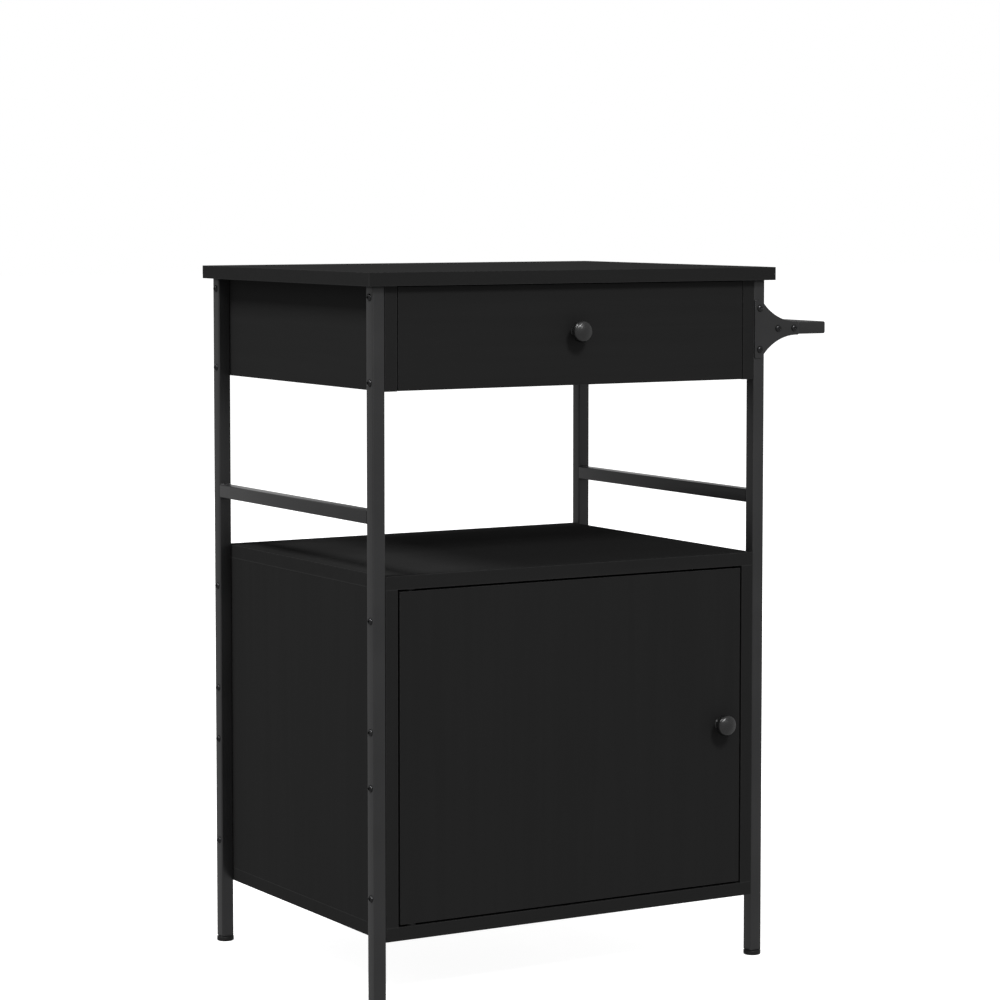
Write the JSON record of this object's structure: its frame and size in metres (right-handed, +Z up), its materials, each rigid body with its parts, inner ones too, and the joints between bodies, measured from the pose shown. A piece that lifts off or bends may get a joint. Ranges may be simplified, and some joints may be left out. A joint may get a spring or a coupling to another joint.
{
  "type": "kitchen island cart",
  "caption": "Narrow kitchen cart with a worktop, a drawer, an open bay, a cabinet with a door, square steel legs and a side handle bar.",
  "frame": {"origin": "on the floor, midway along the whole outline with the handle and knobs included", "axes": "+X to the right towards the handle, +Y to the back, +Z up"},
  "size_m": [0.607, 0.423, 0.8],
  "materials": {
    "board": "matt black melamine",
    "handle_board": "satin black",
    "drawer_board": "matt black melamine",
    "powder_steel": "black powder coat",
    "black_screws": "satin black oxide",
    "zinc": "zinc plated",
    "magnet": "nickel plated",
    "runner_coat": "white epoxy coat",
    "nylon": "natural nylon",
    "black_plastic": "moulded black",
    "beech": "plain beech",
    "knob_metal": "polished gunmetal"
  },
  "bodies": {
    "carcase": {"worktop": "board", "upper_left_panel": "board", "upper_right_panel": "board", "upper_back_panel": "board", "shelf_board": "board", "lower_left_panel": "board", "lower_right_panel": "board", "lower_back_panel": "board", "bottom_board": "board", "handle_bar": "handle_board", "front_left_leg": "powder_steel", "front_right_leg": "powder_steel", "rear_left_leg": "powder_steel", "rear_right_leg": "powder_steel", "left_rail": "powder_steel", "right_rail": "powder_steel", "front_handle_bracket": "powder_steel", "rear_handle_bracket": "powder_steel", "leg_bolts": "black_screws", "bracket_bolts": "black_screws", "handle_bar_screws": "black_screws", "panel_inserts": "zinc", "bracket_rivet_nuts": "zinc", "cam_locks": "zinc", "cam_bolts": "zinc", "carcase_screws": "zinc", "small_screws": "zinc", "cabinet_roller_rivets": "zinc", "catch_magnet": "magnet", "left_cabinet_runner": "runner_coat", "right_cabinet_runner": "runner_coat", "leg_top_plugs": "black_plastic", "feet": "black_plastic", "magnet_catch": "black_plastic", "pivot_bushes": "black_plastic", "wood_dowels": "beech"},
    "drawer_box": {"drawer_front": "board", "drawer_left_side": "drawer_board", "drawer_right_side": "drawer_board", "drawer_back": "drawer_board", "drawer_bottom": "drawer_board", "left_drawer_runner": "runner_coat", "right_drawer_runner": "runner_coat", "drawer_roller_rivets": "zinc", "drawer_runner_screws": "zinc", "drawer_cam_locks": "zinc", "drawer_cam_bolts": "zinc", "drawer_dowels": "beech", "drawer_knob": "knob_metal", "drawer_knob_screw": "zinc"},
    "door_leaf": {"door": "board", "door_knob": "knob_metal", "door_knob_screw": "zinc", "door_pivot_pins": "black_screws", "strike_plate": "zinc"},
    "left_cabinet_roller_wheel": {"left_cabinet_roller": "nylon"},
    "right_cabinet_roller_wheel": {"right_cabinet_roller": "nylon"},
    "left_drawer_roller_wheel": {"left_drawer_roller": "nylon"},
    "right_drawer_roller_wheel": {"right_drawer_roller": "nylon"}
  },
  "joints": [
    {"name": "drawer_slide", "type": "slide", "parent": "carcase", "child": "drawer_box", "axis": [0, -1, 0], "range_m": [0, 0.26]},
    {"name": "door_hinge", "type": "hinge", "parent": "carcase", "child": "door_leaf", "pos_m": [-0.246, -0.182, 0.27225], "axis": [0, 0, -1], "range_deg": [0, 110]},
    {"name": "left_cabinet_roller_spin", "type": "hinge", "parent": "carcase", "child": "left_cabinet_roller_wheel", "pos_m": [-0.2589, -0.1615, 0.68795], "axis": [1, 0, 0], "continuous": true},
    {"name": "right_cabinet_roller_spin", "type": "hinge", "parent": "carcase", "child": "right_cabinet_roller_wheel", "pos_m": [0.1819, -0.1615, 0.68795], "axis": [1, 0, 0], "continuous": true},
    {"name": "left_drawer_roller_spin", "type": "hinge", "parent": "drawer_box", "child": "left_drawer_roller_wheel", "pos_m": [-0.2589, 0.1635, 0.68725], "axis": [1, 0, 0], "continuous": true},
    {"name": "right_drawer_roller_spin", "type": "hinge", "parent": "drawer_box", "child": "right_drawer_roller_wheel", "pos_m": [0.1819, 0.1635, 0.68725], "axis": [1, 0, 0], "continuous": true}
  ],
  "couplings": [
    {"joint": "left_cabinet_roller_spin", "follows": "drawer_slide", "rad_per_m": 125},
    {"joint": "right_cabinet_roller_spin", "follows": "drawer_slide", "rad_per_m": 125},
    {"joint": "left_drawer_roller_spin", "follows": "drawer_slide", "rad_per_m": 125},
    {"joint": "right_drawer_roller_spin", "follows": "drawer_slide", "rad_per_m": 125}
  ]
}
